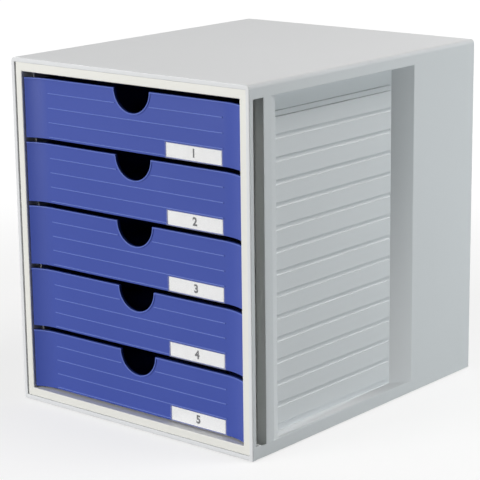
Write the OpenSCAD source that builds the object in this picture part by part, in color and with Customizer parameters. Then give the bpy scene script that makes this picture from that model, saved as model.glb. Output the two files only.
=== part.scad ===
// Desk drawer box for letter-size paper: a light-grey housing with a cream front frame
// and five blue drawers that slide forward. Each side has a tall slot behind the front
// frame and a large recess with level grooves.
// Origin: centre of the footprint, on the surface the box stands on. The front faces -Y.
// Inside the modules y runs from the front plane (0) to the back (body_d).

/* [Housing] */
// Overall width of the housing
body_w = 275; // [250:1:320]
// Overall depth of the housing
body_d = 330; // [300:1:380]
// Wall of the two sides
wall_t = 2.5; // [2:0.1:3.5]
// Wall of the top
top_t = 3; // [2:0.1:4]
// Radius of the two long top edges
top_r = 4; // [2:0.5:6]
// Radius of the edges at the back
rear_r = 2.5; // [1:0.25:4]
// Radius of the outer edges at the front
front_r = 1.2; // [0.5:0.1:2]
// Thickness of the rear panel
rear_t = 2.5; // [2:0.1:4]
// How far the rear panel is set in from the back edges
rear_inset = 1; // [0.5:0.1:3]

/* [Base and feet] */
// Plate of the base panel
base_t = 2; // [1.5:0.1:4]
// Height of the skirt and the ribs under the base plate
skirt_h = 1; // [0.6:0.1:2]
// Width of the skirt and the ribs
skirt_w = 3; // [2:0.5:6]
// How far the feet stand out below the housing
foot_h = 1; // [0.8:0.1:3]
// Diameter of a foot
foot_dia = 16; // [12:1:24]
// Distance of a foot's centre from the side of the housing
foot_side = 30; // [20:1:50]
// Distance of a foot's centre from the front or the back
foot_end = 36; // [20:1:60]

/* [Front frame] */
// Width of the proud rim round the front
rim_w = 4; // [3:0.5:5]
// Depth of the rim behind the front plane
rim_d = 5; // [4:0.5:8]
// How far the frame's face is set back behind the rim
rim_step = 1.3; // [0.5:0.1:2]
// From the side of the housing to the drawer opening
stile_w = 11.5; // [9:0.5:16]
// From the top of the housing to the drawer opening
top_rail_h = 12.2; // [9:0.2:20]
// From the underside of the housing to the drawer opening
bottom_rail_h = 11.4; // [9:0.2:20]
// Thickness of the frame's face
frame_t = 2.5; // [2:0.1:3.5]
// Thickness of the flange that lines the opening
flange_t = 1.5; // [1.2:0.1:2]

/* [Side slots and recesses] */
// Length of the slot behind the front rim
slot_l = 13; // [8:0.5:20]
// Width of the bar between slot and recess, before its bevel
bar_w = 10; // [8:0.5:20]
// Length of the bevel on the bar's rear edge
bevel_l = 9; // [4:0.5:12]
// Depth of that bevel
bevel_t = 2.8; // [1:0.2:4]
// Length over which the recess's front wall goes down
steep_l = 3; // [2:0.5:10]
// Plain length of the side behind the recess
plain_l = 98; // [60:1:140]
// Length over which the recess's rear wall slants in
slant_l = 19.4; // [8:0.2:30]
// Wall of the recess's sides
cup_t = 2; // [1.5:0.1:3]
// Level grooves in the recess for each drawer
grooves_per_drawer = 3; // [1:1:4]
// Height of a groove
groove_h = 4.2; // [2:0.2:8]
// Depth of a groove
groove_t = 1.4; // [0.6:0.1:1.8]
// Height of the fine groove under the top band
fine_groove_h = 0.8; // [0.4:0.1:1.4]

/* [Runners] */
// Thickness of a runner panel
panel_t = 3; // [2.4:0.1:4]
// Length of a panel's front tongue, which lies inside the flange
tongue_l = 4; // [2:0.5:6]
// How far a rail stands in from its panel
rail_w = 6; // [5:0.5:10]
// Thickness of a rail
rail_t = 3; // [2:0.2:4]
// Gap between a rail's front end and the flange
rail_setback = 1; // [0.5:0.5:10]
// Free width between a tray and each runner panel
side_gap = 1; // [0.5:0.1:2]
// Free height between a tray and the rail it runs on
run_gap = 0.2; // [0.1:0.05:0.6]
// Free height between a lug and the rail above it
lug_gap = 0.8; // [0.4:0.1:1.5]
// Height of the stop under each rail
stop_h = 2.6; // [2:0.1:4]
// Length of that stop along the rail
stop_l = 3; // [2:0.5:6]
// How far a drawer pulls out before it meets its stop
pull_out = 240; // [150:5:250]

/* [Drawers] */
// Number of drawers
drawer_count = 5; // [1:1:6]
// Height of a drawer's front
front_h = 54.3; // [50:0.1:75]
// Gap between one front and the next
front_gap = 4.2; // [3:0.1:6]
// Gap above the top front
top_gap = 5.5; // [4:0.1:8]
// Gap below the bottom front
bottom_gap = 1.6; // [0.8:0.1:4]
// Gap between a front and the opening at each side
front_side_gap = 0.7; // [0.4:0.1:1.5]
// Depth of the front's flat field behind the front plane
field_depth = 9.2; // [8:0.2:12]
// How far the front's side edges come forward of the field
sweep_d = 5.6; // [3:0.2:6]
// Width over which each side sweeps forward
sweep_w = 23.3; // [16:0.1:30]
// Wall of the front
front_t = 2.2; // [1.8:0.1:3]
// Wall of the tray's sides and back
tray_wall = 2; // [1.5:0.1:2.5]
// Floor of the tray
tray_floor = 1.8; // [1.4:0.1:3]
// How far the tray's underside is above the front's lower edge
tray_lift = 3.5; // [2.6:0.1:6]
// How far the tray's upper edge is below the front's upper edge
tray_drop = 2.9; // [1:0.1:10]
// Free length behind a closed tray
rear_gap = 0.3; // [0.2:0.1:3]
// Length of a rear lug
lug_l = 12; // [8:1:30]

/* [Drawer front details] */
// Radius of the finger notch
notch_r = 20.5; // [15:0.5:24]
// Width of the raised bead along the notch and the upper edge
bead_w = 1.6; // [1:0.1:3]
// How far the bead and the ribs stand out
bead_t = 0.6; // [0.3:0.1:0.8]
// Height of a raised rib
rib_h = 1.1; // [0.8:0.1:2]
// From the front's upper edge to the first rib
rib_first = 13.1; // [8:0.1:16]
// From the front's lower edge to the last rib
rib_last = 1.9; // [1.2:0.1:6]
// Number of ribs, evenly spaced from the first to the last
rib_count = 4; // [0:1:4]
// Free width between the notch and the ribs
rib_notch_gap = 3.5; // [2:0.5:8]

/* [Labels] */
// Width of a label card
card_w = 63; // [40:1:90]
// Height of a label card
card_h = 13; // [8:0.2:16]
// Thickness of a label card
card_t = 0.4; // [0.2:0.05:0.8]
// Free width round a card in its seat
card_gap = 0.1; // [0.05:0.05:0.3]
// Margin of the clear window round the card's seat
window_margin = 0.4; // [0.4:0.1:1]
// Thickness of the clear window
window_t = 0.8; // [0.5:0.1:1]
// From the label's right end to the end of the flat field
label_inset = 0.4; // [0:0.1:20]

/* [Hidden] */
function numbered(stem) = [for (i = [1:drawer_count]) str(stem, i)];

$fn = 96;
over = 1; // how far a cutter runs past what it cuts

// Heights, from the surface the box stands on
pitch = front_h + front_gap;
shell_z = foot_h;
open_z = shell_z + bottom_rail_h;
drawer_z = open_z + bottom_gap;
open_top = drawer_z + (drawer_count - 1) * pitch + front_h + top_gap;
body_top = open_top + top_rail_h;
base_top = shell_z + skirt_h + base_t;
ceiling = body_top - top_t;

// Widths, each measured from the middle
half_w = body_w / 2;
open_half = half_w - stile_w;
panel_half = open_half - panel_t;
tray_half = panel_half - side_gap;
front_half = open_half - front_side_gap;
field_half = front_half - sweep_w;
label_end = field_half - label_inset;

// Depths behind the front plane
slot_y = rim_d;
slot_end = slot_y + slot_l;
recess_y = slot_end + bar_w;
recess_end = body_d - plain_l;
rear_y = body_d - rear_inset - rear_t;
rail_y = slot_end + rail_setback;
tray_end = rear_y - rear_gap;
lug_y = tray_end - tray_wall - lug_l;
tongue_y = slot_end - tongue_l;

// The recess's rear wall: its slant, and its thickness measured from front to back
slant = slant_l / stile_w;
slant_wall = cup_t * sqrt(1 + slant * slant);

// The front's sweep is an arc that meets the flat field without a kink
sweep_r = (sweep_w * sweep_w + sweep_d * sweep_d) / (2 * sweep_d);
sweep_centre = field_depth - sweep_r;

// Heights above a front's lower edge
rail_top = tray_lift - run_gap;
rail_under = rail_top - rail_t;
wall_top = front_h - tray_drop;
lug_top = pitch + rail_under - lug_gap;
rib_pitch = (front_h - rib_first - rib_last) / max(1, rib_count - 1);

function level_z(i) = drawer_z + (drawer_count - i) * pitch;
label_middle = label_end - window_margin - card_gap - card_w / 2;
seat_w = card_w + 2 * card_gap;
seat_h = card_h + 2 * card_gap;
window_w = seat_w + 2 * window_margin;
window_h = seat_h + 2 * window_margin;

// ---------------------------------------------------------------- helpers

// Moves the front plane from y = 0 to its place
module placed() {
    translate([0, -body_d / 2, 0]) children();
}

// Draws a shape at the right side and its mirror image at the left
module both_sides() {
    children();
    mirror([1, 0, 0]) children();
}

// A box by its low and high corners
module block(low, high) {
    translate(low) cube(high - low);
}

// What a square corner loses to a round edge of radius r, for the corner at 0,0
module corner_waste(r) {
    difference() {
        translate([-over, -over]) square(r + over);
        translate([r, r]) circle(r);
    }
}

// Points of the side's plan: t in from the side of the housing, y from the front
function side_points(points) = [for (p = points) [half_w - p[0], p[1]]];

// A wall at the right side, drawn in plan and extruded between two heights
module side_prism(points, low, high) {
    translate([0, 0, low]) linear_extrude(high - low) polygon(side_points(points));
}

// ---------------------------------------------------------------- housing

// Everything outside the rounded outer edges of the housing
module edge_waste() {
    tall = body_top + 2 * over;
    both_sides() {
        // long top edges
        translate([half_w, -over, body_top]) rotate([-90, 0, 0]) mirror([1, 0, 0])
            linear_extrude(body_d + 2 * over) corner_waste(top_r);
        // upright edges at the back and at the front
        translate([half_w, body_d, -over]) rotate([0, 0, 180])
            linear_extrude(tall) corner_waste(rear_r);
        translate([half_w, 0, -over]) mirror([1, 0, 0])
            linear_extrude(tall) corner_waste(front_r);
    }
    // top edge at the back and at the front
    translate([-half_w - over, body_d, body_top]) rotate([90, 0, 90]) mirror([1, 0, 0])
        mirror([0, 1, 0]) linear_extrude(body_w + 2 * over) corner_waste(rear_r);
    translate([-half_w - over, 0, body_top]) rotate([90, 0, 90])
        mirror([0, 1, 0]) linear_extrude(body_w + 2 * over) corner_waste(front_r);
}

// Bar between slot and recess: a hollow box with a bevelled rear edge
module side_bar() {
    steep_end = recess_y + bevel_l + steep_l;
    difference() {
        side_prism([
            [stile_w, slot_end],
            [0, slot_end],
            [0, recess_y],
            [bevel_t, recess_y + bevel_l],
            [stile_w, steep_end]
        ], open_z, open_top);
        side_prism([
            [stile_w + over, slot_end + cup_t],
            [wall_t, slot_end + cup_t],
            [wall_t, recess_y],
            [bevel_t + cup_t, recess_y + bevel_l - cup_t],
            [stile_w + over, steep_end - cup_t]
        ], open_z, open_top);
    }
}

// Plain rear part of the side, with the recess's slanted rear wall
module side_rear() {
    side_prism([
        [stile_w, recess_end - slant_l],
        [0, recess_end],
        [0, body_d],
        [wall_t, body_d],
        [wall_t, recess_end - slant * wall_t + slant_wall],
        [stile_w, recess_end - slant_l + slant_wall]
    ], open_z, open_top);
}

// Ledge that closes the slot and the recess at one end
module side_ledge(low) {
    side_prism([
        [0, slot_y],
        [stile_w - flange_t, slot_y],
        [stile_w - flange_t, slot_end],
        [stile_w, slot_end],
        [stile_w, recess_end - slant_l + slant_wall],
        [0, recess_end + slant_wall]
    ], low, low + cup_t);
}

// One side of the shell, drawn at the right
module side_wall() {
    block([half_w - wall_t, 0, shell_z], [half_w, body_d, open_z]);
    block([half_w - wall_t, 0, open_top], [half_w, body_d, body_top]);
    side_bar();
    side_rear();
    side_ledge(open_z - cup_t);
    side_ledge(open_top);
}

// Proud rim round the front, one ring
module front_rim() {
    difference() {
        block([-half_w, 0, shell_z], [half_w, rim_d, body_top]);
        block([-half_w + rim_w, -over, shell_z + rim_w],
              [half_w - rim_w, rim_d + over, body_top - rim_w]);
    }
}

module housing_shell() {
    color("gainsboro") placed() difference() {
        union() {
            block([-half_w, 0, ceiling], [half_w, body_d, body_top]);
            both_sides() side_wall();
            front_rim();
        }
        edge_waste();
    }
}

// Ring with a face plate and a flange that lines the drawer opening
module front_frame() {
    color("ivory") placed() difference() {
        union() {
            block([-half_w + rim_w, rim_step, shell_z + rim_w],
                  [half_w - rim_w, rim_step + frame_t, body_top - rim_w]);
            block([-open_half - flange_t, rim_step, open_z - flange_t],
                  [open_half + flange_t, slot_end, open_top + flange_t]);
        }
        block([-open_half, -over, open_z], [open_half, slot_end + over, open_top]);
    }
}

// Level grooves in the panel's outer face, one of them at each rail. In place of the top one
// a band is left standing, with a fine groove under it and a sunk field above it.
module panel_grooves() {
    spacing = pitch / grooves_per_drawer;
    last = drawer_count * grooves_per_drawer - 1;
    for (k = [0:last]) {
        z = drawer_z + rail_under + k * spacing;
        if (k < last)
            panel_groove(z, z + groove_h);
        else {
            panel_groove(z - fine_groove_h, z);
            panel_groove(z + groove_h, open_top);
        }
    }
}

module panel_groove(low, high) {
    block([open_half - groove_t, recess_y, low], [open_half + over, recess_end, high]);
}

// Rails: one under each tray and one above the top tray, all but the lowest with a stop
module panel_rails() {
    stop_y = lug_y - pull_out - run_gap - stop_l;
    for (k = [0:drawer_count]) {
        z = drawer_z + rail_under + k * pitch;
        block([panel_half - rail_w, rail_y, z],
              [panel_half + over, rear_y - rim_d, z + rail_t]);
        if (k > 0)
            block([tray_half - tray_wall - side_gap, stop_y, z - stop_h],
                  [panel_half + over, stop_y + stop_l, z]);
    }
}

// Runner panel, drawn at the right
module runner_panel() {
    difference() {
        union() {
            block([panel_half, slot_end, base_top], [open_half, rear_y, ceiling]);
            block([panel_half, tongue_y, open_z], [open_half, slot_end + over, open_top]);
        }
        panel_grooves();
    }
    panel_rails();
}

module runner_panel_right() {
    color("gainsboro") placed() runner_panel();
}

module runner_panel_left() {
    color("gainsboro") placed() mirror([1, 0, 0]) runner_panel();
}

// Places its children at each foot, or at one of the four
module at_feet(which = [1, 2, 3, 4]) {
    for (i = which) {
        side = i % 2 == 1 ? -1 : 1;
        y = i < 3 ? foot_end : body_d - foot_end;
        translate([side * (half_w - foot_side), y, 0]) children();
    }
}

// Base plate with a low skirt, two ribs and a ring round each foot
module base_panel() {
    inner_half = half_w - wall_t;
    ring_r = foot_dia / 2 + skirt_w;
    color("gainsboro") placed() difference() {
        union() {
            block([-inner_half, rim_d, base_top - base_t], [inner_half, rear_y, base_top]);
            difference() {
                block([-inner_half, rim_d, shell_z], [inner_half, rear_y, base_top]);
                block([-inner_half + skirt_w, rim_d + skirt_w, shell_z - over],
                      [inner_half - skirt_w, rear_y - skirt_w, base_top - base_t]);
            }
            for (s = [-1, 1]) translate([s * half_w / 3, 0, 0])
                block([-skirt_w / 2, rim_d, shell_z], [skirt_w / 2, rear_y, base_top]);
            at_feet() translate([0, 0, shell_z]) cylinder(h = skirt_h + over / 2, r = ring_r);
        }
        at_feet() translate([0, 0, shell_z - over])
            cylinder(h = skirt_h + over, r = foot_dia / 2);
    }
}

module rear_panel() {
    inner_half = half_w - wall_t;
    color("gainsboro") placed()
        block([-inner_half, rear_y, shell_z], [inner_half, rear_y + rear_t, ceiling]);
}

module foot(i) {
    color("dimgray") placed() at_feet([i]) cylinder(h = foot_h + skirt_h, r = foot_dia / 2);
}

// ---------------------------------------------------------------- drawers

// Plan of all that is ahead of the drawer front's face, moved back by d
module ahead_of_front(d) {
    translate([-field_half, -field_depth])
        square([2 * field_half, 2 * field_depth + d]);
    for (s = [-1, 1])
        translate([s * field_half, sweep_centre]) circle(sweep_r + d, $fn = 180);
}

// A layer of the drawer front between two distances behind its face
module front_layer(from, to, half, low, high) {
    translate([0, 0, low]) linear_extrude(high - low) intersection() {
        translate([-half, 0]) square([2 * half, field_depth + front_t + over]);
        difference() {
            ahead_of_front(to);
            ahead_of_front(from);
        }
    }
}

// Horizontal cylinder along y round the centre of the finger notch
module notch_round(r, low_y, high_y) {
    translate([0, low_y, front_h]) rotate([-90, 0, 0]) cylinder(h = high_y - low_y, r = r);
}

// Raised ribs across the flat field, which stop at the notch and at the label
module front_ribs() {
    difference() {
        for (k = [0:1:rib_count - 1]) {
            z = front_h - rib_first - k * rib_pitch;
            block([-label_end, field_depth - bead_t, z - rib_h / 2],
                  [label_end, field_depth + 0.1, z + rib_h / 2]);
        }
        notch_round(notch_r + rib_notch_gap, 0, field_depth + over);
        block([label_end - window_w, 0, -over], [label_end + over, field_depth + over, window_h]);
    }
}

// Bowed front with its beads, lower edge at z = 0
module drawer_front() {
    front_layer(0, front_t, front_half, 0, front_h);
    front_layer(-bead_t, 0.1, front_half, front_h - bead_w, front_h);
    intersection() {
        notch_round(notch_r + bead_w, field_depth - bead_t, field_depth + 0.1);
        block([-field_half, 0, 0], [field_half, field_depth + front_t, front_h]);
    }
    front_ribs();
}

// Tray: floor, two sides and back, with a lug on each rear corner
module drawer_tray() {
    inner_half = tray_half - tray_wall;
    difference() {
        block([-tray_half, 0, tray_lift], [tray_half, tray_end, wall_top]);
        difference() {
            block([-inner_half, 0, tray_lift + tray_floor],
                  [inner_half, tray_end - tray_wall, wall_top + over]);
            linear_extrude(front_h) ahead_of_front(front_t);
        }
        translate([0, 0, -over]) linear_extrude(front_h + 2 * over)
            ahead_of_front(front_t / 2);
    }
    both_sides()
        block([inner_half, lug_y, wall_top - over], [tray_half, lug_y + lug_l, lug_top]);
}

// One drawer moulding, lower edge of its front at z = 0
module drawer_moulding() {
    difference() {
        union() {
            drawer_front();
            drawer_tray();
        }
        notch_round(notch_r, 0, field_depth + front_t + over);
        translate([label_middle - seat_w / 2, field_depth, window_margin])
            translate([0, -over, 0]) cube([seat_w, card_t + over, seat_h]);
    }
}

module drawer(i) {
    color("royalblue") placed() translate([0, 0, level_z(i)]) drawer_moulding();
}

module label_card(i) {
    color("white") placed()
        translate([label_middle - card_w / 2, field_depth,
                   level_z(i) + window_margin + card_gap])
            cube([card_w, card_t, card_h]);
}

module label_window(i) {
    color([0.9, 0.95, 1, 0.4]) placed()
        translate([label_end - window_w, field_depth - window_t, level_z(i)])
            cube([window_w, window_t, window_h]);
}

// ---------------------------------------------------------------- nodes

housing_shell();
front_frame();
runner_panel_left();
runner_panel_right();
base_panel();
rear_panel();
for (i = [1:4])
    foot(i);
for (i = [1:drawer_count])
    drawer(i);
for (i = [1:drawer_count])
    label_card(i);
for (i = [1:drawer_count])
    label_window(i);
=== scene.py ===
import math

import bmesh
import bpy
from mathutils import Matrix, Vector


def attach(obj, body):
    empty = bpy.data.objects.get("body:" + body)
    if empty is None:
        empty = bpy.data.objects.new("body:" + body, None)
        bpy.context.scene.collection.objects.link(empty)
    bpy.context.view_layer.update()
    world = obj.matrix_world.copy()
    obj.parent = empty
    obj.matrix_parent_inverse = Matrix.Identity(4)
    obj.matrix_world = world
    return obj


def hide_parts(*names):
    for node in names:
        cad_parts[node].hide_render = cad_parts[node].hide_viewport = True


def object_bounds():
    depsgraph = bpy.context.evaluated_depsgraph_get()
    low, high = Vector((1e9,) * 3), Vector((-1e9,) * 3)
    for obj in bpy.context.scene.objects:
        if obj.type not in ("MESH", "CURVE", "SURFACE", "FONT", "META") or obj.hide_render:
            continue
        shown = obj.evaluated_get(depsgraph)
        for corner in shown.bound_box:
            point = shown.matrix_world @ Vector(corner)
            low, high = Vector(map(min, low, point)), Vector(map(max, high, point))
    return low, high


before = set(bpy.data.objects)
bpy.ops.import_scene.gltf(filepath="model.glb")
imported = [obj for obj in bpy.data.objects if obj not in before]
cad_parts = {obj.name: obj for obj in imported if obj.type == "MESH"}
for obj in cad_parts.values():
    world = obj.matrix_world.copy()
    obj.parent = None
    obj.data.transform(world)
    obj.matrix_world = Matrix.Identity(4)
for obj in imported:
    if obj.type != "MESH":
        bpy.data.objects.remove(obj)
cad_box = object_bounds()


# ---------------------------------------------------------------- housing shell
# Top, two sides and a rim that stands proud round the front, one moulding in light-grey
# plastic. Each side has a tall slot behind the rim and a large recess with a slanted rear wall.
# Sizes are in millimetres; x and z are as in the frame, y counts back from the front plane.
FRONT_PLANE = cad_box[0].y
MILLIMETRE = 0.001
CLOSE = 0.1
CUT_SNAP, WELD_SNAP = 0.03, 0.01
SHARP_ANGLE, ROUNDED_ANGLE = math.radians(28), math.radians(32)
DEPTH = 330.0
HALF_WIDTH = 137.5
HEIGHT = 320.0
SHELL_LOW = 1.0
TOP_RADIUS = 4.0
FRONT_RADIUS = 0.9
BACK_RADIUS = 1.4
SHELL_WALL = 1.9
EDGE_RADIUS = 0.6
RIM_WIDTH, RIM_DEPTH, RIM_LOW = 4.0, 5.0, 5.0
OPENING_LOW, OPENING_HIGH = 12.4, 307.8
SLOT_END = 18.0
RECESS_START, RECESS_END = 28.0, 232.0
PANEL_FACE = 126.0
FLANGE_FACE = 127.5
BEVEL_END, BEVEL_DEPTH = 37.0, 2.8
RECESS_FLOOR_START, RECESS_FLOOR_END = 40.0, 212.6
# The second share is how far a painted highlight on raised crests goes to its colour.
CLOUD_SHARE, HIGHLIGHT_SHARE, COARSE_SHARE = 0.8, 0.9, 0.3
CLOUD_GLOSS, SPECK_GLOSS = 0.10, 0.08
GRAIN_DEPTH = 0.06
MIX_FACTOR, MIX_FIRST, MIX_SECOND, MIX_COLOUR = 0, 6, 7, 2


def middle(part):
    """The middle of an edge or a face."""
    return sum((v.co for v in part.verts), Vector()) / len(part.verts)


def at(value, place):
    """Whether a coordinate is at a place, to within a tenth of a millimetre."""
    return abs(value - place) < CLOSE


def verts_of(parts):
    """The ends of the edges, or the corners of the faces, each of them once."""
    return {v for part in parts for v in part.verts}


def sheet_of(*corners):
    """A new mesh with one face between the corners."""
    bm = bmesh.new()
    bm.faces.new([bm.verts.new(corner) for corner in corners])
    return bm


def pull(bm, edges, shift=(0, 0, 0)):
    """Extrudes edges by shift, and returns the edges that the new faces end in."""
    made = bmesh.ops.extrude_edge_only(bm, edges=edges)["geom"]
    verts = {part for part in made if isinstance(part, bmesh.types.BMVert)}
    bmesh.ops.translate(bm, vec=shift, verts=list(verts))
    return [
        part for part in made
        if isinstance(part, bmesh.types.BMEdge) and set(part.verts) <= verts
    ]


def slice_at(bm, axis, *places, among=None):
    """Cuts the mesh, or the faces that among() gives, across x, y or z (0, 1, 2) at each place."""
    for place in places:
        faces = among() if among else bm.faces[:]
        parts = dict.fromkeys(part for f in faces for part in (*f.edges, *f.verts))
        point, normal = Vector(), Vector()
        point[axis], normal[axis] = place, 1
        bmesh.ops.bisect_plane(
            bm, geom=[*faces, *parts], dist=CUT_SNAP, plane_co=point, plane_no=normal,
        )


def round_edges(bm, edges, radius, segments, affect="EDGES"):
    bmesh.ops.bevel(
        bm, geom=edges, offset=radius, segments=segments, profile=0.5,
        affect=affect, material=-1,
    )


def thickened(bm, wall):
    """The sheet as a solid, with its wall behind the outer faces."""
    holder = bpy.data.objects.new("sheet", bpy.data.meshes.new("sheet"))
    bpy.context.scene.collection.objects.link(holder)
    bm.to_mesh(holder.data)
    bm.free()
    solid = holder.modifiers.new("wall", "SOLIDIFY")
    solid.thickness = wall
    solid.offset = -1
    solid.use_even_offset = True
    bm = bmesh.new()
    bm.from_object(holder, bpy.context.evaluated_depsgraph_get())
    bpy.data.objects.remove(holder)
    return bm


def sharp_edges(bm, *tests):
    """Outward corners whose two ends both pass one of the tests."""
    return [
        e for e in bm.edges
        if e.is_manifold and e.calc_face_angle_signed() > SHARP_ANGLE
        and any(all(test(v.co) for v in e.verts) for test in tests)
    ]


def finished(name, bm, material, edge_radius=0.0, segments=2):
    """The piece of that name: its mesh in metres at its place, with its edges rounded."""
    bmesh.ops.scale(bm, vec=(MILLIMETRE, MILLIMETRE, MILLIMETRE), verts=bm.verts)
    bmesh.ops.translate(bm, vec=(0, FRONT_PLANE, 0), verts=bm.verts)
    mesh = bpy.data.meshes.new(name)
    bm.to_mesh(mesh)
    bm.free()
    mesh.shade_smooth()
    mesh.materials.append(material)
    piece = bpy.data.objects.new(name, mesh)
    bpy.context.scene.collection.objects.link(piece)
    if edge_radius:
        rounding = piece.modifiers.new("edges", "BEVEL")
        rounding.width = edge_radius * MILLIMETRE
        rounding.segments = segments
        rounding.limit_method = "ANGLE"
        rounding.angle_limit = ROUNDED_ANGLE
        rounding.use_clamp_overlap = False
    piece.modifiers.new("flat_faces", "WEIGHTED_NORMAL").keep_sharp = True
    return piece


def srgb(red, green, blue):
    """A colour given as 0 to 255, as Blender's linear light."""
    def linear(level):
        level /= 255
        return level / 12.92 if level <= 0.04045 else ((level + 0.055) / 1.055) ** 2.4
    return (linear(red), linear(green), linear(blue), 1.0)


class Wire:
    """The output of a node, with which shader maths is written as arithmetic."""

    def __init__(self, finish, socket):
        self.finish, self.socket = finish, socket

    def sum(self, operation, *values):
        return self.finish.node("Math", {"operation": operation}, dict(enumerate(values)))

    def __add__(self, other):
        return self.sum("ADD", self, other)

    def __sub__(self, other):
        return self.sum("SUBTRACT", self, other)

    def __mul__(self, other):
        return self.sum("MULTIPLY", self, other)

    __radd__ = __add__


class Finish:
    """A material: a Principled shader and the nodes that feed it."""

    def __init__(self, name, **constants):
        self.material = bpy.data.materials.new(name)
        self.material.use_nodes = True
        self.tree = self.material.node_tree
        self.shader = self.tree.nodes["Principled BSDF"]
        for socket, value in constants.items():
            self.shader.inputs[socket.replace("_", " ")].default_value = value
        self.place = self.node("TexCoord", output="Object")

    def node(self, kind, settings=None, sockets=None, output=0):
        made = self.tree.nodes.new("ShaderNode" + kind)
        for setting, value in (settings or {}).items():
            setattr(made, setting, value)
        for socket, value in (sockets or {}).items():
            if isinstance(value, Wire):
                self.tree.links.new(value.socket, made.inputs[socket])
            else:
                made.inputs[socket].default_value = value
        return Wire(self, made.outputs[output])

    def feed(self, socket, wire):
        self.tree.links.new(wire.socket, self.shader.inputs[socket])

    def noise(self, scale, detail=2.0, stretch=(1, 1, 1)):
        """Noise from 0 to 1, with scale features to the metre."""
        place = self.node("Mapping", {}, {"Vector": self.place, "Scale": stretch})
        return self.node("TexNoise", {}, {"Vector": place, "Scale": scale, "Detail": detail})

    def blend(self, factor, first, second):
        """A colour between two."""
        return self.node("Mix", {"data_type": "RGBA"}, {
            MIX_FACTOR: factor, MIX_FIRST: first, MIX_SECOND: second,
        }, MIX_COLOUR)

    def bump(self, height, strength, depth):
        """Feeds the shader's normal with a relief that is depth millimetres deep."""
        self.feed("Normal", self.node("Bump", {}, {
            "Strength": strength, "Distance": depth * MILLIMETRE, "Height": height,
        }))


def moulded_plastic(name, dark, light, roughness, grain, highlight_colour=None, **constants):
    """Injection-moulded plastic: a fine eroded grain, and faint clouds of colour and gloss. A
    highlight colour, if given, is painted on raised crests as a highlight.
    """
    finish = Finish(name, **constants)
    clouds = finish.noise(scale=7, detail=3)
    specks = finish.noise(scale=420)
    colour = finish.blend(clouds * CLOUD_SHARE + specks * (1 - CLOUD_SHARE), dark, light)
    # Painted highlight: a lighter colour laid on the raised crests, as much as the vertex layer
    # says.
    if highlight_colour:
        painted_highlight = finish.node("Attribute", {"attribute_name": "painted_highlight"}, output="Fac")
        colour = finish.blend(painted_highlight * HIGHLIGHT_SHARE, colour, highlight_colour)
    finish.feed("Base Color", colour)
    finish.feed("Roughness",
                roughness + (clouds - 0.5) * CLOUD_GLOSS + (specks - 0.5) * SPECK_GLOSS)
    fine = finish.noise(scale=2400, detail=3) * (1 - COARSE_SHARE)
    finish.bump(fine + finish.noise(scale=900) * COARSE_SHARE, grain, GRAIN_DEPTH)
    return finish.material


housing_grey = moulded_plastic(
    "housing_grey", srgb(214, 216, 218), srgb(221, 223, 225), roughness=0.5, grain=0.35,
    Specular_IOR_Level=0.25,
)

bm = sheet_of(*[(x, RIM_DEPTH, z) for x, z in (
    (-HALF_WIDTH, SHELL_LOW),
    (HALF_WIDTH, SHELL_LOW),
    (HALF_WIDTH, OPENING_LOW),
    (HALF_WIDTH, OPENING_HIGH),
    (HALF_WIDTH, HEIGHT),
    (-HALF_WIDTH, HEIGHT),
    (-HALF_WIDTH, OPENING_HIGH),
    (-HALF_WIDTH, OPENING_LOW),
)])
round_edges(bm, [v for v in bm.verts if v.co.z == HEIGHT], TOP_RADIUS,
            segments=8, affect="VERTICES")
bmesh.ops.delete(bm, geom=bm.faces[:], context="FACES_ONLY")
outline = bm.edges[:]

# The walls, drawn back from the outline in four lengths
wall_edges = [e for e in outline if not at(middle(e).z, SHELL_LOW)]
for start, end in ((RIM_DEPTH, SLOT_END), (SLOT_END, RECESS_START),
                   (RECESS_START, RECESS_END), (RECESS_END, DEPTH)):
    wall_edges = pull(bm, wall_edges, (0, end - start, 0))

# The rim, folded forward from the outline, in and back again
rim_front = pull(bm, outline, (0, -RIM_DEPTH, 0))
rim_inner = pull(bm, rim_front)
for v in verts_of(rim_inner):
    v.co.x = max(-HALF_WIDTH + RIM_WIDTH, min(HALF_WIDTH - RIM_WIDTH, v.co.x))
    v.co.z = max(RIM_LOW, min(HEIGHT - RIM_WIDTH, v.co.z))
pull(bm, rim_inner, (0, RIM_DEPTH, 0))
bmesh.ops.remove_doubles(bm, verts=bm.verts, dist=WELD_SNAP)

# The slot and the recess in each side: the window is taken out, and its border is drawn inwards
for side in (-1, 1):
    for start, end in ((RIM_DEPTH, SLOT_END), (RECESS_START, RECESS_END)):
        window = [
            f for f in bm.faces
            if at(middle(f).x, side * HALF_WIDTH)
            and start < middle(f).y < end and OPENING_LOW < middle(f).z < OPENING_HIGH
        ]
        border = [e for f in window for e in f.edges]
        bmesh.ops.delete(bm, geom=window, context="FACES_ONLY")
        if start == RIM_DEPTH:
            border = [e for e in border if not at(middle(e).y, RIM_DEPTH)]
            pull(bm, border, (side * (FLANGE_FACE - HALF_WIDTH), 0, 0))
            continue
        share = BEVEL_DEPTH / (HALF_WIDTH - PANEL_FACE)
        slant_here = RECESS_END + share * (RECESS_FLOOR_END - RECESS_END)
        for x, near, far in ((HALF_WIDTH - BEVEL_DEPTH, BEVEL_END, slant_here),
                             (PANEL_FACE, RECESS_FLOOR_START, RECESS_FLOOR_END)):
            border = pull(bm, border)
            for v in verts_of(border):
                v.co.x = side * x
                v.co.y = near if v.co.y < DEPTH / 2 else far

bmesh.ops.recalc_face_normals(bm, faces=bm.faces)
bm = thickened(bm, SHELL_WALL)


def on_outside(place):
    """Whether a place is on the shell's outer faces, as seen from the front."""
    across, above = abs(place.x), place.z
    centre_x, centre_z = HALF_WIDTH - TOP_RADIUS, HEIGHT - TOP_RADIUS
    if across > centre_x and above > centre_z:
        return at(math.hypot(across - centre_x, above - centre_z), TOP_RADIUS)
    return at(across, HALF_WIDTH) or at(above, HEIGHT) or at(above, SHELL_LOW)


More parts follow.
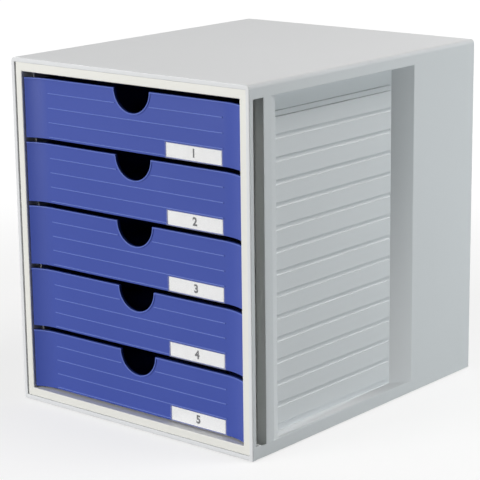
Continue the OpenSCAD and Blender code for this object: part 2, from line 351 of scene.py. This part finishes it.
round_edges(bm, sharp_edges(
    bm,
    lambda p: at(p.y, 0) and on_outside(p),
    lambda p: at(p.z, SHELL_LOW) and at(abs(p.x), HALF_WIDTH),
), FRONT_RADIUS, segments=4)
round_edges(bm, sharp_edges(bm, lambda p: at(p.y, DEPTH) and on_outside(p)),
            BACK_RADIUS, segments=4)
round_edges(bm, sharp_edges(
    bm,
    lambda p: at(p.y, 0),
    lambda p: abs(p.x) > HALF_WIDTH - BEVEL_DEPTH - CLOSE
    and OPENING_LOW - CLOSE < p.z < OPENING_HIGH + CLOSE and p.y < RECESS_END + CLOSE,
), EDGE_RADIUS, segments=3)
shell = finished("shell_moulding", bm, housing_grey)
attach(shell, "housing")
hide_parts("housing_shell")


# ---------------------------------------------------------------- front frame
# Cream ring that snaps in behind the rim, a little set back, with a flange that lines the
# opening. Moulded in a warmer and slightly glossier plastic than the housing.
FRAME_SET_BACK = 1.3
FRAME_THICK = 2.5
FRAME_WALL = 1.5
FRAME_SIDE_GAP, FRAME_GAP = 0.5, 0.05
LIP_RADIUS = 1.0
OPENING_HALF = 126.0

frame_cream = moulded_plastic(
    "frame_cream", srgb(219, 219, 213), srgb(225, 225, 220), roughness=0.42, grain=0.25,
)

bm = sheet_of(*[(x, SLOT_END, z) for x, z in (
    (-OPENING_HALF, OPENING_LOW),
    (OPENING_HALF, OPENING_LOW),
    (OPENING_HALF, OPENING_HIGH),
    (-OPENING_HALF, OPENING_HIGH),
)])
bmesh.ops.delete(bm, geom=bm.faces[:], context="FACES_ONLY")
inner_lip = pull(bm, bm.edges[:], (0, FRAME_SET_BACK - SLOT_END, 0))
outer_lip = pull(bm, inner_lip)
for v in verts_of(outer_lip):
    v.co.x = math.copysign(HALF_WIDTH - RIM_WIDTH - FRAME_SIDE_GAP, v.co.x)
    v.co.z = RIM_LOW + FRAME_GAP if v.co.z < HEIGHT / 2 else HEIGHT - RIM_WIDTH - FRAME_GAP
pull(bm, outer_lip, (0, FRAME_THICK, 0))
round_edges(bm, inner_lip, LIP_RADIUS, segments=4)
bmesh.ops.recalc_face_normals(bm, faces=bm.faces)
front_frame = finished("front_frame_moulding", thickened(bm, FRAME_WALL), frame_cream,
                       edge_radius=0.4)
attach(front_frame, "housing")
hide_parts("front_frame")


# ---------------------------------------------------------------- runner panels
# A flat panel behind each recess, in the housing's plastic. Its outer face carries the level
# grooves that show in the recess, below a standing band and a sunk field at the top; its
# inner face carries the drawers' rails and their stops.
DRAWER_COUNT = 5
DRAWER_PITCH = 58.5
LOWEST_DRAWER = 14.0
PANEL_THICK = 3.0
PANEL_LOW, PANEL_HIGH = 4.0, 317.0
PANEL_END = 326.5
TONGUE_START = 14.0
GROOVES_PER_DRAWER = 3
GROOVE_HEIGHT = 4.2
GROOVE_TOP_DEPTH, GROOVE_FOOT_DEPTH = 1.4, 1.0
FINE_GROOVE_HEIGHT = 0.8
FRONT_SLOPE = (RECESS_FLOOR_START - BEVEL_END) / (HALF_WIDTH - BEVEL_DEPTH - PANEL_FACE)
REAR_SLOPE = (RECESS_END - RECESS_FLOOR_END) / (HALF_WIDTH - PANEL_FACE)
RAIL_WIDTH, RAIL_THICK = 6.0, 3.0
RAIL_START, RAIL_END = 19.0, 321.5
RAIL_LIFT = 0.3
STOP_START, STOP_END = 69.0, 72.0
STOP_HEIGHT, STOP_INNER = 2.6, 119.0
FLAT_ANGLE = math.radians(1)


def push(bm, faces, shift, keep=False):
    """Extrudes faces together by shift, and returns the moved ones; the old ones may be kept."""
    made = bmesh.ops.extrude_face_region(bm, geom=faces)["geom"]
    if not keep:
        bmesh.ops.delete(bm, geom=faces, context="FACES")
    bmesh.ops.translate(
        bm, vec=shift, verts=[part for part in made if isinstance(part, bmesh.types.BMVert)],
    )
    return [part for part in made if isinstance(part, bmesh.types.BMFace)]


def block(low, high):
    """A closed box between two corners."""
    bm = bmesh.new()
    bmesh.ops.create_cube(bm, size=1)
    low, high = Vector(low), Vector(high)
    bmesh.ops.scale(bm, vec=high - low, verts=bm.verts)
    bmesh.ops.translate(bm, vec=(low + high) / 2, verts=bm.verts)
    return bm


def join_flat_faces(bm):
    """Joins the faces that lie in one plane, and drops the points left along straight edges."""
    bmesh.ops.dissolve_limit(bm, angle_limit=FLAT_ANGLE, verts=bm.verts, edges=bm.edges)


def runner_panel(side):
    bm = block((PANEL_FACE - PANEL_THICK, SLOT_END, PANEL_LOW),
               (PANEL_FACE, PANEL_END, PANEL_HIGH))
    slice_at(bm, 2, OPENING_LOW, OPENING_HIGH)
    tongue = [f for f in bm.faces
              if at(middle(f).y, SLOT_END) and OPENING_LOW < middle(f).z < OPENING_HIGH]
    push(bm, tongue, (0, TONGUE_START - SLOT_END, 0))

    # rails on the inner face, and a stop under each of them but the lowest
    rail_feet = [LOWEST_DRAWER + RAIL_LIFT + k * DRAWER_PITCH for k in range(DRAWER_COUNT + 1)]
    slice_at(bm, 1, RAIL_START, STOP_START, STOP_END, RAIL_END)
    for foot in rail_feet:
        slice_at(bm, 2, foot, foot + RAIL_THICK)
    rails = [
        f for f in bm.faces
        if at(middle(f).x, PANEL_FACE - PANEL_THICK) and RAIL_START < middle(f).y < RAIL_END
        and any(foot < middle(f).z < foot + RAIL_THICK for foot in rail_feet)
    ]
    push(bm, rails, (-RAIL_WIDTH, 0, 0))
    slice_at(bm, 0, STOP_INNER)
    undersides = [
        f for f in bm.faces
        if round(f.normal.z) == -1 and STOP_START < middle(f).y < STOP_END
        and STOP_INNER < middle(f).x < PANEL_FACE - PANEL_THICK
        and any(at(middle(f).z, foot) for foot in rail_feet[1:])
    ]
    push(bm, undersides, (0, 0, -STOP_HEIGHT))

    # grooves in the outer face, deepest along their upper edge, and the band and field on top;
    # their ends carry on the slopes of the recess's walls, and the lowest runs to its ledge
    spacing = DRAWER_PITCH / GROOVES_PER_DRAWER
    feet = [LOWEST_DRAWER + RAIL_LIFT + k * spacing
            for k in range(DRAWER_COUNT * GROOVES_PER_DRAWER)]
    sunk = [(foot, foot + GROOVE_HEIGHT, GROOVE_FOOT_DEPTH) for foot in feet[1:-1]]
    sunk.append((OPENING_LOW, feet[0] + GROOVE_HEIGHT, GROOVE_TOP_DEPTH))
    sunk.append((feet[-1] - FINE_GROOVE_HEIGHT, feet[-1], GROOVE_TOP_DEPTH))
    sunk.append((feet[-1] + GROOVE_HEIGHT, OPENING_HIGH, GROOVE_TOP_DEPTH))
    slice_at(bm, 1, RECESS_FLOOR_START, RECESS_FLOOR_END)
    for foot, head, foot_depth in sunk:
        slice_at(bm, 2, foot, head)
        strip = [
            f for f in bm.faces
            if at(middle(f).x, PANEL_FACE) and foot < middle(f).z < head
            and RECESS_FLOOR_START < middle(f).y < RECESS_FLOOR_END
        ]
        floor = push(bm, strip, (-foot_depth, 0, 0))
        for v in verts_of(floor):
            if at(v.co.z, head):
                v.co.x = PANEL_FACE - GROOVE_TOP_DEPTH
            if at(v.co.y, RECESS_FLOOR_START):
                v.co.y += FRONT_SLOPE * (PANEL_FACE - v.co.x)
            elif at(v.co.y, RECESS_FLOOR_END):
                v.co.y -= REAR_SLOPE * (PANEL_FACE - v.co.x)
    join_flat_faces(bm)
    if side < 0:
        bmesh.ops.scale(bm, vec=(-1, 1, 1), verts=bm.verts)
    bmesh.ops.recalc_face_normals(bm, faces=bm.faces)
    return bm


for name, side in (("left", -1), ("right", 1)):
    panel = finished(f"grooved_panel_{name}", runner_panel(side), housing_grey,
                     edge_radius=0.35)
    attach(panel, "housing")
    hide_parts(f"runner_panel_{name}")


# ---------------------------------------------------------------- base and rear panels
# The base is a plate stiffened by a low skirt and two ribs, with a ring round each foot. The
# rear panel is a plain plate with a shallow field. Both clip in between the housing's sides.
BASE_HALF = 135.0
BASE_TOP = 4.0
SKIRT_WIDTH, SKIRT_HEIGHT = 3.0, 1.0
REAR_START, REAR_END = 326.5, 329.0
RIB_PLACES = (-HALF_WIDTH / 3, HALF_WIDTH / 3)
FIELD_MARGIN, FIELD_SLOPE, FIELD_DEPTH = 12.0, 0.4, 0.5
RING_PLAY, RING_ROOT = 0.1, 0.2
ROUND_SEGMENTS = 48
FOOT_RADIUS = 8.0
FOOT_ACROSS, FOOT_INSET = 107.5, 36.0
FOOT_PLACES = [
    (x, y) for y in (FOOT_INSET, DEPTH - FOOT_INSET) for x in (-FOOT_ACROSS, FOOT_ACROSS)
]


def ring(bm, centre, inner, outer, low, high):
    """A closed round ring, spun from its upright section."""
    x, y = centre
    section = bm.faces.new([
        bm.verts.new((x + r, y, z))
        for r, z in ((inner, low), (outer, low), (outer, high), (inner, high))
    ])
    outline = [*section.edges, *section.verts]
    bmesh.ops.delete(bm, geom=[section], context="FACES_ONLY")
    bmesh.ops.spin(
        bm, geom=outline, cent=(x, y, 0), axis=(0, 0, 1), angle=math.tau,
        steps=ROUND_SEGMENTS, use_merge=True,
    )


bm = block((-BASE_HALF, RIM_DEPTH, SHELL_LOW), (BASE_HALF, REAR_START, BASE_TOP))
slice_at(bm, 0, -BASE_HALF + SKIRT_WIDTH, BASE_HALF - SKIRT_WIDTH,
         *[x + s * SKIRT_WIDTH / 2 for x in RIB_PLACES for s in (-1, 1)])
slice_at(bm, 1, RIM_DEPTH + SKIRT_WIDTH, REAR_START - SKIRT_WIDTH)
pockets = [
    f for f in bm.faces
    if round(f.normal.z) == -1 and abs(middle(f).x) < BASE_HALF - SKIRT_WIDTH
    and RIM_DEPTH + SKIRT_WIDTH < middle(f).y < REAR_START - SKIRT_WIDTH
    and all(abs(middle(f).x - x) > SKIRT_WIDTH / 2 for x in RIB_PLACES)
]
push(bm, pockets, (0, 0, SKIRT_HEIGHT))
join_flat_faces(bm)
for centre in FOOT_PLACES:
    ring(bm, centre, FOOT_RADIUS + RING_PLAY, FOOT_RADIUS + SKIRT_WIDTH,
         SHELL_LOW, SHELL_LOW + SKIRT_HEIGHT + RING_ROOT)
bmesh.ops.recalc_face_normals(bm, faces=bm.faces)
base = finished("base_plate", bm, housing_grey, edge_radius=0.25)
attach(base, "housing")
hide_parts("base_panel")

bm = block((-BASE_HALF, REAR_START, SHELL_LOW), (BASE_HALF, REAR_END, PANEL_HIGH))
back_face = [f for f in bm.faces if round(f.normal.y) == 1]
bmesh.ops.inset_region(bm, faces=back_face, thickness=FIELD_MARGIN)
bmesh.ops.inset_region(bm, faces=back_face, thickness=FIELD_SLOPE, depth=-FIELD_DEPTH)
rear = finished("rear_plate", bm, housing_grey, edge_radius=0.3)
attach(rear, "housing")
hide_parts("rear_panel")


# ---------------------------------------------------------------- feet
# Four low round feet of dark rubber, pressed into the rings under the base plate. Each has
# a dished underside, so that only its rim touches the desk.
SOLE_RIM, SOLE_SLOPE, SOLE_DISH = 1.6, 1.0, 0.4

foot_rubber = Finish("foot_rubber", Specular_IOR_Level=0.3)
scuff = foot_rubber.noise(scale=260, detail=4)
foot_rubber.feed("Base Color", foot_rubber.blend(scuff, srgb(38, 38, 39), srgb(58, 58, 58)))
foot_rubber.feed("Roughness", 0.74 + scuff * 0.2)
foot_rubber.bump(foot_rubber.noise(scale=1500, detail=3), strength=0.4, depth=0.1)

for number, (x, y) in enumerate(FOOT_PLACES, 1):
    bm = bmesh.new()
    disc = bmesh.ops.create_circle(
        bm, cap_ends=True, radius=FOOT_RADIUS, segments=ROUND_SEGMENTS,
    )
    bmesh.ops.translate(bm, vec=(x, y, SHELL_LOW + SKIRT_HEIGHT), verts=disc["verts"])
    sole = push(bm, bm.faces[:], (0, 0, -SHELL_LOW - SKIRT_HEIGHT), keep=True)
    bmesh.ops.recalc_face_normals(bm, faces=bm.faces)
    bmesh.ops.inset_region(bm, faces=sole, thickness=SOLE_RIM)
    bmesh.ops.inset_region(bm, faces=sole, thickness=SOLE_SLOPE, depth=-SOLE_DISH)
    foot = finished(f"rubber_foot_{number}", bm, foot_rubber.material, edge_radius=0.3)
    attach(foot, "housing")
    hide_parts(f"foot_{number}")


# ---------------------------------------------------------------- drawers
# Five alike trays in blue plastic, each moulded in one with its bowed front. The front sweeps
# forward at both ends, and has a round finger notch, a bead along its upper edge and thin ribs,
# whose crests carry a painted highlight in a lighter blue.
FRONT_HALF = 125.3
FRONT_HEIGHT = 54.3
FIELD_HALF = 102.0
FIELD_BACK = 9.2
SWEEP_DEPTH = 5.6
SWEEP_STEPS = 10
FRONT_THICK = 2.2
NOTCH_RADIUS = 20.5
NOTCH_STEPS = 43
BEAD_WIDTH = 1.6
RELIEF = 0.6
RIB_HEIGHT = 1.1
RIB_FIRST, RIB_LAST, RIB_COUNT = 13.1, 1.9, 4
RIB_NOTCH_GAP = 3.5
RIB_RADIUS, CORNER_RADIUS = 0.46, 0.13
LABEL_END = 101.6
WINDOW_WIDTH, WINDOW_HEIGHT = 64.0, 14.0
SEAT_MARGIN, SEAT_DEPTH = 0.6, 0.4
TRAY_HALF, TRAY_END = 122.0, 326.2
TRAY_LOW, TRAY_HIGH = 3.5, 51.4
TRAY_WALL, TRAY_RADIUS = 2.0, 1.6
LUG_START, LUG_END, LUG_HIGH = 312.2, 324.2, 58.0

# The lighter blue is a painted highlight for the crests of the ribs and the bead.
drawer_blue = moulded_plastic(
    "drawer_blue", srgb(54, 72, 152), srgb(62, 80, 161), roughness=0.36, grain=0.22,
    highlight_colour=srgb(98, 118, 192), Specular_IOR_Level=0.22,
)


def bow(x):
    """Depth of the front's face behind the front plane at x."""
    width = FRONT_HALF - FIELD_HALF
    radius = (width ** 2 + SWEEP_DEPTH ** 2) / (2 * SWEEP_DEPTH)
    beyond = max(0.0, abs(x) - FIELD_HALF)
    return FIELD_BACK - radius + math.sqrt(radius ** 2 - beyond ** 2)


def cut_for_sweep(bm, half):
    """Cuts the columns along which the front's ends are bent, out to half its width."""
    step = (FRONT_HALF - FIELD_HALF) / SWEEP_STEPS
    columns = [FIELD_HALF + k * step for k in range(SWEEP_STEPS)]
    slice_at(bm, 0, *[s * x for x in columns if x < half for s in (-1, 1)])


def wear(place):
    """How much painted highlight the face carries: most on the ribs' crests and the bead's outer
    edge.
    """
    raised = max(0.0, bow(place.x) - place.y) / RELIEF
    inwards = min(FRONT_HEIGHT - place.z,
                  math.hypot(place.x, place.z - FRONT_HEIGHT) - NOTCH_RADIUS)
    return raised if inwards > BEAD_WIDTH + CLOSE else raised * (1 - inwards / BEAD_WIDTH)


def drawer_front():
    """The bowed front with its notch, bead, ribs and label seat, its foot at z = 0."""
    bm = bmesh.new()
    outer = NOTCH_RADIUS + BEAD_WIDTH
    edge = bm.edges.new([bm.verts.new((-r, FIELD_BACK, FRONT_HEIGHT))
                         for r in (NOTCH_RADIUS, outer)])
    bmesh.ops.spin(
        bm, geom=[edge, *edge.verts], cent=(0, FIELD_BACK, FRONT_HEIGHT), axis=(0, -1, 0),
        angle=math.pi, steps=NOTCH_STEPS,
    )
    notch_bead = set(bm.faces)
    arc = [v for v in bm.verts if at(math.hypot(v.co.x, v.co.z - FRONT_HEIGHT), outer)]
    arc.sort(key=lambda v: v.co.x)
    bm.faces.new([
        *arc,
        bm.verts.new((FRONT_HALF, FIELD_BACK, FRONT_HEIGHT)),
        bm.verts.new((FRONT_HALF, FIELD_BACK, 0)),
        bm.verts.new((-FRONT_HALF, FIELD_BACK, 0)),
        bm.verts.new((-FRONT_HALF, FIELD_BACK, FRONT_HEIGHT)),
    ])
    ribs = [RIB_LAST + k * (FRONT_HEIGHT - RIB_FIRST - RIB_LAST) / (RIB_COUNT - 1)
            for k in range(RIB_COUNT)]
    label_start = LABEL_END - WINDOW_WIDTH
    beside = math.acos(math.sqrt((NOTCH_RADIUS + RIB_NOTCH_GAP) ** 2 - RIB_FIRST ** 2) / outer)
    step = math.pi / NOTCH_STEPS
    notch_side = outer * math.cos(round(beside / step) * step)

    def field():
        return [f for f in bm.faces if f not in notch_bead]

    def on_rib(f):
        return any(abs(middle(f).z - rib) < RIB_HEIGHT / 2 for rib in ribs)

    def beside_label(f):
        return SEAT_MARGIN < middle(f).z < WINDOW_HEIGHT - SEAT_MARGIN

    slice_at(bm, 0, -notch_side, notch_side, among=field)
    slice_at(bm, 2, *[z + s * RIB_HEIGHT / 2 for z in ribs for s in (-1, 1)], among=field)
    slice_at(bm, 2, FRONT_HEIGHT - BEAD_WIDTH, SEAT_MARGIN, WINDOW_HEIGHT - SEAT_MARGIN,
             among=field)
    cut_for_sweep(bm, FRONT_HALF)
    slice_at(bm, 0, -LABEL_END, LABEL_END, label_start,
             among=lambda: [f for f in field() if on_rib(f)])
    slice_at(bm, 0, label_start + SEAT_MARGIN, LABEL_END - SEAT_MARGIN,
             among=lambda: [f for f in field() if beside_label(f)])
    for v in bm.verts:
        v.co.y = bow(v.co.x)
    bmesh.ops.recalc_face_normals(bm, faces=bm.faces)
    if bm.faces[:][0].normal.y > 0:
        bmesh.ops.reverse_faces(bm, faces=bm.faces)
    face = bm.faces[:]
    push(bm, face, (0, FRONT_THICK, 0), keep=True)

    def raised(f):
        x, z = middle(f).x, middle(f).z
        if f in notch_bead or z > FRONT_HEIGHT - BEAD_WIDTH:
            return True
        if not on_rib(f) or abs(x) > LABEL_END or (x > label_start and z < WINDOW_HEIGHT):
            return False
        return abs(x) > notch_side or z < FRONT_HEIGHT - RIB_FIRST - RIB_HEIGHT

    seat = [
        f for f in face
        if label_start + SEAT_MARGIN < middle(f).x < LABEL_END - SEAT_MARGIN and beside_label(f)
    ]
    strips = [f for f in face if raised(f)]
    push(bm, strips, (0, -RELIEF, 0))
    push(bm, seat, (0, SEAT_DEPTH, 0))
    bmesh.ops.recalc_face_normals(bm, faces=bm.faces)
    round_edges(bm, sharp_edges(bm, lambda p: at(p.y, bow(p.x) - RELIEF)),
                RIB_RADIUS, segments=4)
    round_edges(bm, sharp_edges(bm, lambda p: True), CORNER_RADIUS, segments=2)
    # Painted highlight: how much of the lighter crest colour each corner carries.
    painted_highlight = bm.verts.layers.float.new("painted_highlight")
    for v in bm.verts:
        v[painted_highlight] = wear(v.co)
    return bm


def drawer_tray():
    """The tray behind the front as a sheet: floor, sides and back, with a lug on each side."""
    bm = sheet_of((-TRAY_HALF, FIELD_BACK, TRAY_LOW), (TRAY_HALF, FIELD_BACK, TRAY_LOW),
                  (TRAY_HALF, TRAY_END, TRAY_LOW), (-TRAY_HALF, TRAY_END, TRAY_LOW))
    cut_for_sweep(bm, TRAY_HALF - 2 * TRAY_WALL)
    slice_at(bm, 1, LUG_START, LUG_END)
    for v in bm.verts:
        if at(v.co.y, FIELD_BACK):
            v.co.y = bow(v.co.x) + FRONT_THICK / 2
    border = [
        e for e in bm.edges
        if e.is_boundary and (at(abs(middle(e).x), TRAY_HALF) or at(middle(e).y, TRAY_END))
    ]
    top = pull(bm, border, (0, 0, TRAY_HIGH - TRAY_LOW))
    lugs = [e for e in top if LUG_START < middle(e).y < LUG_END]
    pull(bm, lugs, (0, 0, LUG_HIGH - TRAY_HIGH))
    corners = [
        e for e in bm.edges if len(e.link_faces) == 2 and e.calc_face_angle() > SHARP_ANGLE
    ]
    round_edges(bm, corners, TRAY_RADIUS, segments=4)
    bmesh.ops.recalc_face_normals(bm, faces=bm.faces)
    if sum(f.calc_area() * f.normal.z for f in bm.faces) > 0:
        bmesh.ops.reverse_faces(bm, faces=bm.faces)
    return bm


def raise_to(bm, level):
    bmesh.ops.translate(bm, vec=(0, 0, level), verts=bm.verts)
    return bm


def drawer_level(number):
    """The height of a drawer's foot; drawer 1 is at the top."""
    return LOWEST_DRAWER + (DRAWER_COUNT - number) * DRAWER_PITCH


for number in range(1, DRAWER_COUNT + 1):
    level = drawer_level(number)
    body = f"drawer_body_{number}"
    front = finished(f"drawer_front_{number}", raise_to(drawer_front(), level), drawer_blue)
    tray = finished(f"drawer_tray_{number}", raise_to(thickened(drawer_tray(), TRAY_WALL), level),
                    drawer_blue, edge_radius=0.4)
    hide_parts(f"drawer_{number}")
    for part in (front, tray):
        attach(part, body)


# ---------------------------------------------------------------- labels
# A white card lies in a shallow seat at the lower right of each front, printed with the
# drawer's number. A thin clear window, clipped over the seat, holds it.
CARD_WIDTH, CARD_HEIGHT, CARD_THICK = 61.2, 12.3, 0.3
CARD_TURNS = (0.25, -0.15, 0.2, -0.1, 0.15)
CARD_SLIPS = (-0.5, -0.4, -0.35, -0.5, -0.45)
WINDOW_THICK = 0.8
DIGIT_SIZE, DIGIT_WEIGHT, DIGIT_THICK = 10.0, 0.42, 0.04

label_paper = Finish("label_paper", Specular_IOR_Level=0.25)
fibres = label_paper.noise(scale=1400, detail=4, stretch=(1, 1, 3))
label_paper.feed("Base Color", label_paper.blend(
    fibres, srgb(230, 230, 229), srgb(240, 240, 240),
))
label_paper.feed("Roughness", 0.72 + fibres * 0.12)
label_paper.bump(fibres, strength=0.3, depth=0.03)

label_ink = Finish("label_ink", Specular_IOR_Level=0.3)
toner = label_ink.noise(scale=900, detail=3)
label_ink.feed("Base Color", label_ink.blend(toner, srgb(28, 28, 32), srgb(44, 44, 48)))
label_ink.feed("Roughness", 0.5 + toner * 0.15)

label_clear = Finish("label_clear", Specular_IOR_Level=0.6)
smears = label_clear.noise(scale=45, detail=3, stretch=(1, 1, 2))
label_clear.feed("Base Color", label_clear.blend(
    smears, srgb(240, 244, 250), srgb(252, 253, 255),
))
label_clear.feed("Roughness", 0.06 + smears * 0.06)
label_clear.feed("Alpha", 0.08 + smears * 0.04)

for number in range(1, DRAWER_COUNT + 1):
    body = f"drawer_body_{number}"
    centre = Vector((
        LABEL_END - WINDOW_WIDTH / 2, 0, drawer_level(number) + WINDOW_HEIGHT / 2,
    ))
    slip = Vector((CARD_SLIPS[number - 1], 0, 0))
    turn = Matrix.Rotation(math.radians(CARD_TURNS[number - 1]), 3, "Y")
    card_front = FIELD_BACK + SEAT_DEPTH - CARD_THICK

    bm = block((-CARD_WIDTH / 2, card_front, -CARD_HEIGHT / 2),
               (CARD_WIDTH / 2, card_front + CARD_THICK, CARD_HEIGHT / 2))
    bmesh.ops.rotate(bm, cent=(0, 0, 0), matrix=turn, verts=bm.verts)
    bmesh.ops.translate(bm, vec=centre + slip, verts=bm.verts)
    card = finished(f"card_{number}", bm, label_paper.material, edge_radius=0.06, segments=1)
    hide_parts(f"label_card_{number}")

    words = bpy.data.curves.new("digit", "FONT")
    words.body = str(number)
    words.size = DIGIT_SIZE
    words.offset = DIGIT_WEIGHT
    words.align_x = words.align_y = "CENTER"
    words.extrude = DIGIT_THICK / 2
    stand_in = bpy.data.objects.new("digit", words)
    bpy.context.scene.collection.objects.link(stand_in)
    bm = bmesh.new()
    bm.from_mesh(bpy.data.meshes.new_from_object(stand_in))
    bpy.data.objects.remove(stand_in)
    upright = Matrix.Rotation(math.pi / 2, 3, "X")
    on_card = Vector((0, card_front - DIGIT_THICK / 2, 0))
    bmesh.ops.rotate(bm, cent=(0, 0, 0), matrix=upright, verts=bm.verts)
    bmesh.ops.rotate(bm, cent=(0, 0, 0), matrix=turn, verts=bm.verts)
    bmesh.ops.translate(bm, vec=centre + slip + on_card, verts=bm.verts)
    digit = finished(f"digit_{number}", bm, label_ink.material)

    bm = block((-WINDOW_WIDTH / 2, FIELD_BACK - WINDOW_THICK, -WINDOW_HEIGHT / 2),
               (WINDOW_WIDTH / 2, FIELD_BACK, WINDOW_HEIGHT / 2))
    bmesh.ops.translate(bm, vec=centre, verts=bm.verts)
    window = finished(f"clear_window_{number}", bm, label_clear.material, edge_radius=0.25)
    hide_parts(f"label_window_{number}")
    for part, slot in ((card, "label_paper"), (digit, "label_paper"), (window, "label_clear")):
        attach(part, body)


# ---------------------------------------------------------------- floor, light and camera
# A pale studio floor under a white world. A broad key lamp and a smaller, higher one stand at
# the left of the front, two at the right side, high and low, and one behind. The lens is long.
# Lengths are in metres here.
FLOOR_HALF = 14.0
FADE_START, FADE_END = 0.4, 1.0
BLACK, NEAR_GLOW, WHITE = ((level, level, level, 1) for level in (0, 0.72, 1))
AMBIENT_LIGHT = 0.04
LAMP_AIM = Vector((0, 0, 0.16))
CAMERA_PLACE = (1.0719, -1.2926, 0.5576)
CAMERA_AZIMUTH, CAMERA_ELEVATION, CAMERA_ROLL = 39.985, 13.972, -0.707
FOCAL_LENGTH, SENSOR_WIDTH = 139.06, 36
NEAREST, FARTHEST = 0.05, 60

floor_white = Finish(
    "floor_white", Roughness=0.9, Specular_IOR_Level=0.1, Emission_Strength=1.0,
)
paper_tone = floor_white.noise(scale=1.5)
distance = floor_white.node(
    "VectorMath", {"operation": "LENGTH"}, {"Vector": floor_white.place}, "Value",
)
far_away = floor_white.node("MapRange", {"interpolation_type": "SMOOTHSTEP"}, {
    "Value": distance, "From Min": FADE_START, "From Max": FADE_END,
})
near_tone = floor_white.blend(paper_tone, srgb(132, 132, 132), srgb(136, 136, 136))
floor_white.feed("Base Color", floor_white.blend(far_away, near_tone, BLACK))
seen = sum(floor_white.node("LightPath", output=f"Is {ray} Ray")
           for ray in ("Camera", "Glossy", "Transmission"))
floor_white.feed("Emission Color", floor_white.blend(
    seen, BLACK, floor_white.blend(far_away, NEAR_GLOW, WHITE),
))

bm = bmesh.new()
bmesh.ops.create_grid(bm, x_segments=1, y_segments=1, size=FLOOR_HALF)
mesh = bpy.data.meshes.new("studio_floor")
bm.to_mesh(mesh)
bm.free()
mesh.materials.append(floor_white.material)
floor = bpy.data.objects.new("studio_floor", mesh)
bpy.context.scene.collection.objects.link(floor)

world = bpy.data.worlds.new("studio")
world.use_nodes = True
bpy.context.scene.world = world
tree = world.node_tree
path = tree.nodes.new("ShaderNodeLightPath")
direct = tree.nodes.new("ShaderNodeMath")
direct.operation = "MAXIMUM"
tree.links.new(path.outputs["Is Camera Ray"], direct.inputs[0])
shiny = tree.nodes.new("ShaderNodeMath")
shiny.operation = "MAXIMUM"
tree.links.new(path.outputs["Is Glossy Ray"], shiny.inputs[0])
tree.links.new(path.outputs["Is Transmission Ray"], shiny.inputs[1])
tree.links.new(shiny.outputs[0], direct.inputs[1])
ambient = tree.nodes["Background"]
ambient.inputs["Color"].default_value = WHITE
ambient.inputs["Strength"].default_value = AMBIENT_LIGHT
white = tree.nodes.new("ShaderNodeBackground")
white.inputs["Color"].default_value = WHITE
white.inputs["Strength"].default_value = 1.0
choice = tree.nodes.new("ShaderNodeMixShader")
tree.links.new(direct.outputs[0], choice.inputs[0])
tree.links.new(ambient.outputs[0], choice.inputs[1])
tree.links.new(white.outputs[0], choice.inputs[2])
tree.links.new(choice.outputs[0], tree.nodes["World Output"].inputs["Surface"])


def soft_lamp(name, place, size, power, colour):
    """A square area lamp, turned to the middle of the box."""
    lamp = bpy.data.lights.new(name, "AREA")
    lamp.shape = "SQUARE"
    lamp.size = size
    lamp.energy = power
    lamp.color = colour
    holder = bpy.data.objects.new(name, lamp)
    holder.location = place
    holder.rotation_euler = (Vector(place) - LAMP_AIM).to_track_quat("Z", "Y").to_euler()
    bpy.context.scene.collection.objects.link(holder)


soft_lamp("key", place=(-1.5, -3.8, 1.05), size=2.0, power=170, colour=(1.0, 0.995, 0.985))
soft_lamp("front_top", place=(-1.4, -1.3, 2.0), size=0.6, power=4, colour=(1.0, 0.985, 0.97))
soft_lamp("side_top", place=(0.85, 0.3, 2.0), size=0.7, power=22, colour=(1.0, 0.98, 0.96))
soft_lamp("side_low", place=(0.95, 0.42, 0.05), size=0.5, power=6.5, colour=(0.89, 0.98, 1.0))
soft_lamp("back", place=(-0.6, 2.6, 0.45), size=1.2, power=20, colour=(1.0, 0.995, 0.985))

azimuth, elevation, roll = (
    math.radians(angle) for angle in (CAMERA_AZIMUTH, CAMERA_ELEVATION, CAMERA_ROLL)
)
back = Vector((math.sin(azimuth) * math.cos(elevation),
               -math.cos(azimuth) * math.cos(elevation), math.sin(elevation)))
right = Vector((math.cos(azimuth), math.sin(azimuth), 0))
up = back.cross(right)
level_right = math.cos(roll) * right + math.sin(roll) * up
level_up = math.cos(roll) * up - math.sin(roll) * right
lens = bpy.data.cameras.new("camera")
lens.lens = FOCAL_LENGTH
lens.sensor_width = SENSOR_WIDTH
lens.clip_start, lens.clip_end = NEAREST, FARTHEST
camera = bpy.data.objects.new("camera", lens)
camera.matrix_world = Matrix.Translation(CAMERA_PLACE) @ Matrix(
    (level_right, level_up, back)).transposed().to_4x4()
bpy.context.scene.collection.objects.link(camera)
bpy.context.scene.camera = camera
bpy.context.scene.view_settings.view_transform = "Standard"
